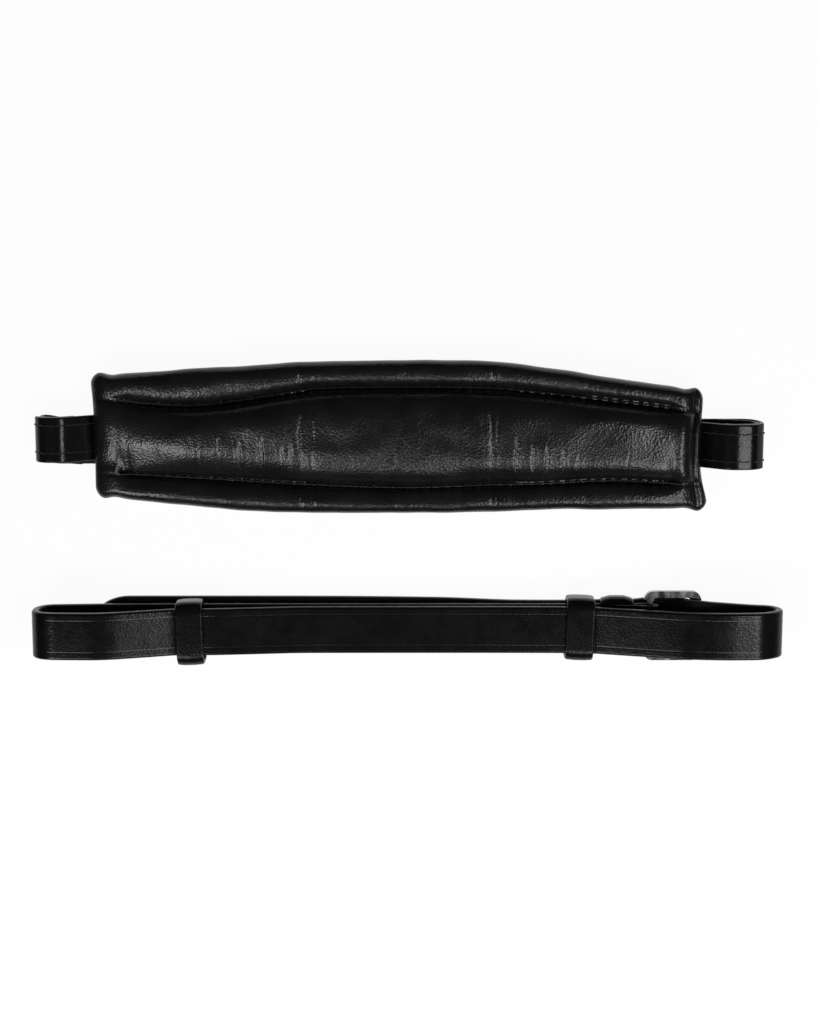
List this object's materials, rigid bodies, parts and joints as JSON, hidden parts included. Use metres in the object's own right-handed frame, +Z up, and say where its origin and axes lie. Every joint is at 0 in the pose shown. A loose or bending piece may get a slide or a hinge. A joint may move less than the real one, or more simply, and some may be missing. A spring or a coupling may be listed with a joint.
{
  "type": "hackamore noseband and curb strap set",
  "caption": "Padded leather hackamore noseband with a sewn loop at each end, and a buckled leather curb strap with keepers, laid flat.",
  "frame": {"origin": "on the table, under the middle of the noseband's outer strap", "axes": "+X runs along both straps from the left loop to the right loop, +Y runs from the curb strap to the noseband, and +Z is up, the side that the pad faces"},
  "size_m": [0.315, 0.1282, 0.0245],
  "materials": {
    "bridle_leather": "smooth black bridle leather with burnished edges",
    "soft_leather": "soft black leather with a low sheen",
    "pad_filling": "soft sheet filling, hidden under the cover",
    "buckle_steel": "bright plated steel"
  },
  "bodies": {
    "noseband_middle": {"outer_strap_middle": "bridle_leather", "strap_filler_middle": "bridle_leather", "backing_panel_middle": "bridle_leather", "pad_foam_middle": "pad_filling", "pad_cover_middle": "soft_leather", "pad_fold_left": "soft_leather", "pad_fold_right": "soft_leather"},
    "left_wing": {"outer_strap_left": "bridle_leather", "strap_filler_left": "bridle_leather", "backing_panel_left": "bridle_leather", "pad_foam_left": "pad_filling", "pad_cover_left": "soft_leather", "loop_lining_left": "bridle_leather"},
    "right_wing": {"outer_strap_right": "bridle_leather", "strap_filler_right": "bridle_leather", "backing_panel_right": "bridle_leather", "pad_foam_right": "pad_filling", "pad_cover_right": "soft_leather", "loop_lining_right": "bridle_leather"},
    "curb_strap": {"curb_strap": "bridle_leather", "fixed_keeper": "bridle_leather", "buckle_frame": "buckle_steel"},
    "left_runner": {"runner_keeper_left": "bridle_leather"},
    "right_runner": {"runner_keeper_right": "bridle_leather"},
    "prong": {"buckle_prong": "buckle_steel"}
  },
  "joints": [
    {"name": "left_fold", "type": "hinge", "parent": "noseband_middle", "child": "left_wing", "pos_m": [-0.04, 0, 0], "axis": [0, 1, 0], "range_deg": [0, 50], "deforming": ["pad_fold_left"]},
    {"name": "right_fold", "type": "hinge", "parent": "noseband_middle", "child": "right_wing", "pos_m": [0.04, 0, 0], "axis": [0, -1, 0], "range_deg": [0, 50], "deforming": ["pad_fold_right"]},
    {"name": "curb_strap_apart", "type": "slide", "parent": "noseband_middle", "child": "curb_strap", "axis": [0, -1, 0], "range_m": [0, 0.1]},
    {"name": "left_runner_slide", "type": "slide", "parent": "curb_strap", "child": "left_runner", "axis": [1, 0, 0], "range_m": [0, 0.1]},
    {"name": "right_runner_slide", "type": "slide", "parent": "curb_strap", "child": "right_runner", "axis": [-1, 0, 0], "range_m": [0, 0.02]},
    {"name": "prong_hinge", "type": "hinge", "parent": "curb_strap", "child": "prong", "pos_m": [0.1055, -0.0784, 0.00865], "axis": [0, 1, 0], "range_deg": [0, 8]}
  ]
}
